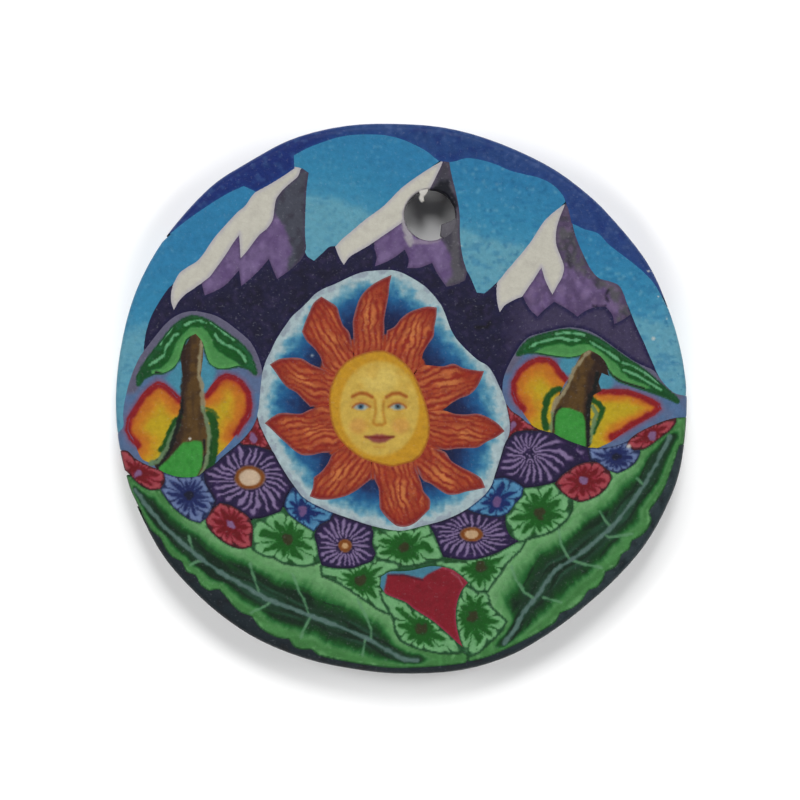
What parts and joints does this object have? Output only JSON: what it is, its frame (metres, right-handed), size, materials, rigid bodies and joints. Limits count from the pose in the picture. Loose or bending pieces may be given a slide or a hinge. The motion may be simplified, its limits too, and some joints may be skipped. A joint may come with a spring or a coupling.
{
  "type": "millefiori clay pendant",
  "caption": "Flat round pendant sliced from patterned clay canes, with a hanging hole near its top edge.",
  "frame": {"origin": "centre of the outline on the flat back face that the pendant lies on", "axes": "+Z out of the pictured face, +Y to the picture's top where the hanging hole is, +X to the picture's right"},
  "size_m": [0.0457, 0.044, 0.004],
  "materials": {
    "night_violet_clay": "dark violet polymer clay, satin",
    "sky_blue_clay": "sky blue polymer clay, paler towards the peaks, satin",
    "violet_grey_clay": "violet polymer clay running into grey, satin",
    "snow_white_clay": "warm white polymer clay, satin",
    "royal_blue_clay": "royal blue polymer clay, satin",
    "slate_clay": "dark slate polymer clay, satin",
    "leaf_green_clay": "green polymer clay, light rim to dark middle with grey-green veins",
    "petal_green_clay": "light green petals on dark green polymer clay",
    "heart_red_clay": "crimson polymer clay with a thin blue wrap",
    "petal_purple_clay": "lilac veins on dark purple polymer clay",
    "petal_red_clay": "dusty red petals, polymer clay",
    "petal_lavender_clay": "lavender blue petals, polymer clay",
    "petal_blue_clay": "light blue petals on navy, polymer clay",
    "medallion_blue_clay": "white to navy blended polymer clay",
    "ray_orange_clay": "streaked orange and red polymer clay",
    "sun_yellow_clay": "yellow and ochre polymer clay",
    "lavender_clay": "grey lavender and teal polymer clay",
    "sunset_clay": "yellow to crimson blended polymer clay",
    "bark_brown_clay": "brown polymer clay with a green foot",
    "canopy_green_clay": "dark green polymer clay with light stripes"
  },
  "bodies": {
    "root": {"mountain_base": "night_violet_clay", "sky_left": "sky_blue_clay", "sky_middle": "sky_blue_clay", "sky_right": "sky_blue_clay", "sky_far_right": "sky_blue_clay", "rock_left": "violet_grey_clay", "rock_middle": "violet_grey_clay", "rock_right": "violet_grey_clay", "snow_left": "snow_white_clay", "snow_middle": "snow_white_clay", "snow_right": "snow_white_clay", "upper_wrap": "royal_blue_clay", "lower_wrap": "slate_clay", "leaf_left": "leaf_green_clay", "leaf_right": "leaf_green_clay", "flower_green_by_heart": "petal_green_clay", "flower_green_under_heart": "petal_green_clay", "flower_green_low_right": "petal_green_clay", "flower_green_right_of_heart": "petal_green_clay", "heart": "heart_red_clay", "flower_green_centre": "petal_green_clay", "flower_green_left": "petal_green_clay", "flower_green_right": "petal_green_clay", "flower_purple_low_left": "petal_purple_clay", "flower_purple_low_right": "petal_purple_clay", "flower_purple_left": "petal_purple_clay", "flower_purple_right": "petal_purple_clay", "flower_red_left": "petal_red_clay", "flower_red_right": "petal_red_clay", "flower_red_by_halo_left": "petal_red_clay", "flower_red_by_halo_right": "petal_red_clay", "flower_lavender_left": "petal_lavender_clay", "flower_lavender_right": "petal_lavender_clay", "flower_red_far_left": "petal_red_clay", "flower_red_far_right": "petal_red_clay", "flower_blue_left": "petal_blue_clay", "flower_blue_right": "petal_blue_clay", "sun_sky": "medallion_blue_clay", "ray_top": "ray_orange_clay", "ray_upper_right": "ray_orange_clay", "ray_right": "ray_orange_clay", "ray_lower_right": "ray_orange_clay", "ray_low_right": "ray_orange_clay", "ray_bottom": "ray_orange_clay", "ray_low_left": "ray_orange_clay", "ray_lower_left": "ray_orange_clay", "ray_left": "ray_orange_clay", "ray_upper_left": "ray_orange_clay", "sun_face": "sun_yellow_clay", "tree_left_sky": "lavender_clay", "tree_left_sunset_outer": "sunset_clay", "tree_left_sunset_inner": "sunset_clay", "tree_left_trunk": "bark_brown_clay", "tree_left_canopy": "canopy_green_clay", "tree_right_sky": "lavender_clay", "tree_right_sunset_inner": "sunset_clay", "tree_right_sunset_outer": "sunset_clay", "tree_right_trunk": "bark_brown_clay", "tree_right_canopy": "canopy_green_clay"}
  },
  "joints": []
}
